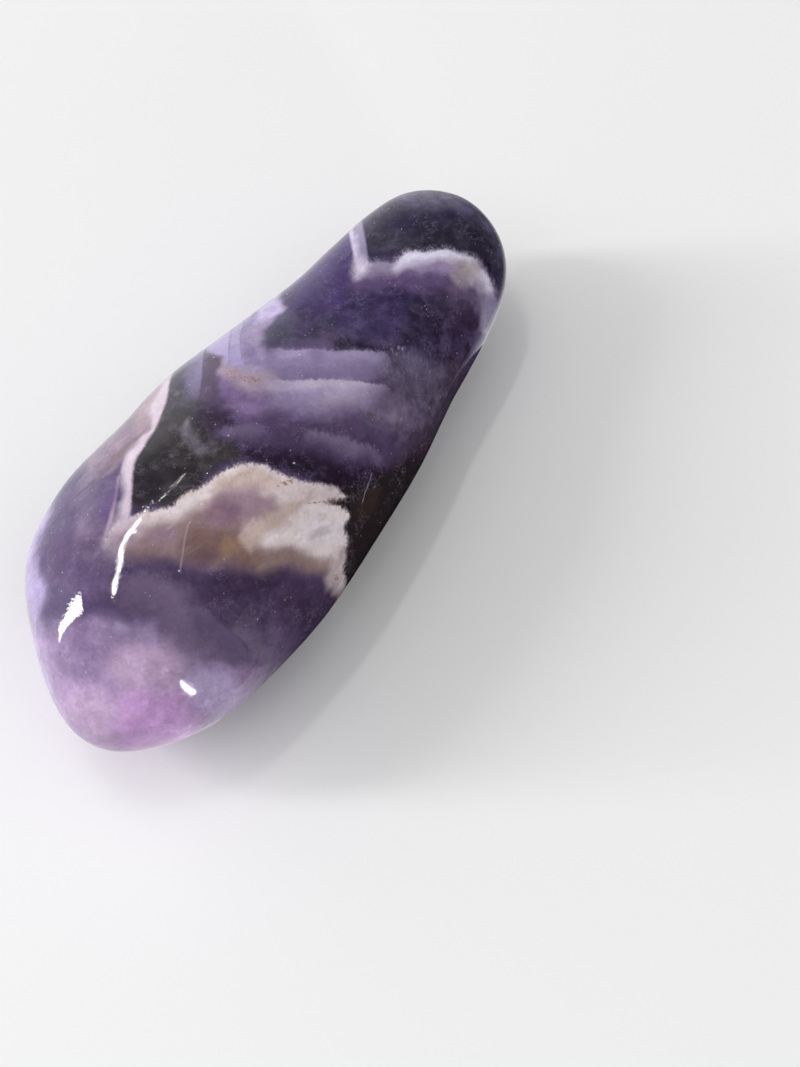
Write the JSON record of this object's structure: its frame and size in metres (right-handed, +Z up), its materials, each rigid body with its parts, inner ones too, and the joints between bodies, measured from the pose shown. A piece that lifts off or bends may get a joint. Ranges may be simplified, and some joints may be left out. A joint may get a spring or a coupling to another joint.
{
  "type": "tumbled amethyst stone",
  "caption": "Long pear-shaped tumbled pebble of banded chevron amethyst, polished, violet and lilac with white zigzag bands, lying on a worn flat underside.",
  "frame": {"origin": "on the resting plane, under the middle of the stone's box", "axes": "+X along the stone from the broad bulb end to the narrow head, +Y across it, +Z up from the flat it rests on"},
  "size_m": [0.0448, 0.0184, 0.0147],
  "materials": {
    "amethyst": "glossy tumbled polish over milky banded quartz"
  },
  "bodies": {
    "root": {"tumbled_amethyst": "amethyst"}
  },
  "joints": []
}
